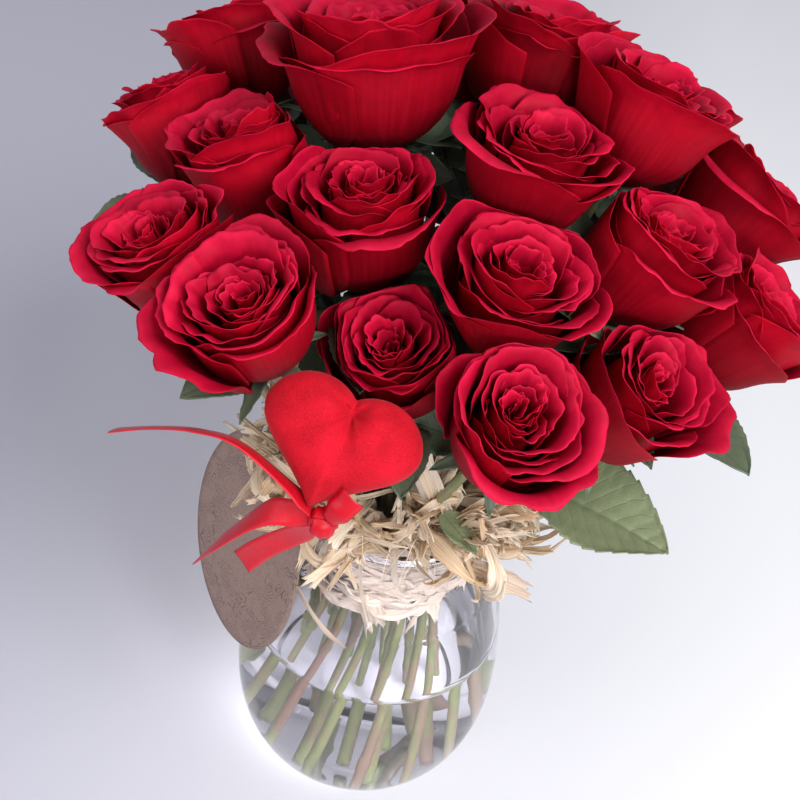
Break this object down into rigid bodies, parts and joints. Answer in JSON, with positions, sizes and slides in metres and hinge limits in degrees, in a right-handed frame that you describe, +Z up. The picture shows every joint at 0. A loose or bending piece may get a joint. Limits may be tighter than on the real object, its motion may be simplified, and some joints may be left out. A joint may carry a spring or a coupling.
{
  "type": "roses in a vase",
  "caption": "Round-bellied clear glass vase of water holding a domed bunch of red roses, with a raffia collar, a stuffed heart on a stick, a satin ribbon and an oval card.",
  "frame": {"origin": "centre of the vase's flat underside", "axes": "+Z up along the vase's axis; the front, with the heart and the ribbon, faces -Y"},
  "size_m": [0.3297, 0.3195, 0.4463],
  "materials": {
    "petal": "matte velvety petals, deep red",
    "stem": "satin green plant stem",
    "leaf": "matte green leaf",
    "glass": "clear thin glass",
    "water": "clear water",
    "raffia": "matte dry straw",
    "velvet": "velvet",
    "satin": "satin ribbon",
    "stick": "plain wood",
    "card": "matte brown kraft card"
  },
  "bodies": {
    "root": {"gift_card": "card", "glass_vase": "glass", "heart": "velvet", "heart_stick": "stick", "leaf_1": "leaf", "leaf_2": "leaf", "leaf_3": "leaf", "leaf_4": "leaf", "leaf_5": "leaf", "leaf_6": "leaf", "raffia_nest": "raffia", "ribbon_knot": "satin", "ribbon_tail_1": "satin", "ribbon_tail_2": "satin", "ribbon_tail_3": "satin", "rose_01_bloom": "petal", "rose_01_stem": "stem", "rose_02_bloom": "petal", "rose_02_stem": "stem", "rose_03_bloom": "petal", "rose_03_stem": "stem", "rose_04_bloom": "petal", "rose_04_stem": "stem", "rose_05_bloom": "petal", "rose_05_stem": "stem", "rose_06_bloom": "petal", "rose_06_stem": "stem", "rose_07_bloom": "petal", "rose_07_stem": "stem", "rose_08_bloom": "petal", "rose_08_stem": "stem", "rose_09_bloom": "petal", "rose_09_stem": "stem", "rose_10_bloom": "petal", "rose_10_stem": "stem", "rose_11_bloom": "petal", "rose_11_stem": "stem", "rose_12_bloom": "petal", "rose_12_stem": "stem", "rose_13_bloom": "petal", "rose_13_stem": "stem", "rose_14_bloom": "petal", "rose_14_stem": "stem", "rose_15_bloom": "petal", "rose_15_stem": "stem", "rose_16_bloom": "petal", "rose_16_stem": "stem", "rose_17_bloom": "petal", "rose_17_stem": "stem", "rose_18_bloom": "petal", "rose_18_stem": "stem", "rose_19_bloom": "petal", "rose_19_stem": "stem", "rose_20_bloom": "petal", "rose_20_stem": "stem", "rose_21_bloom": "petal", "rose_21_stem": "stem", "water": "water"}
  },
  "joints": []
}
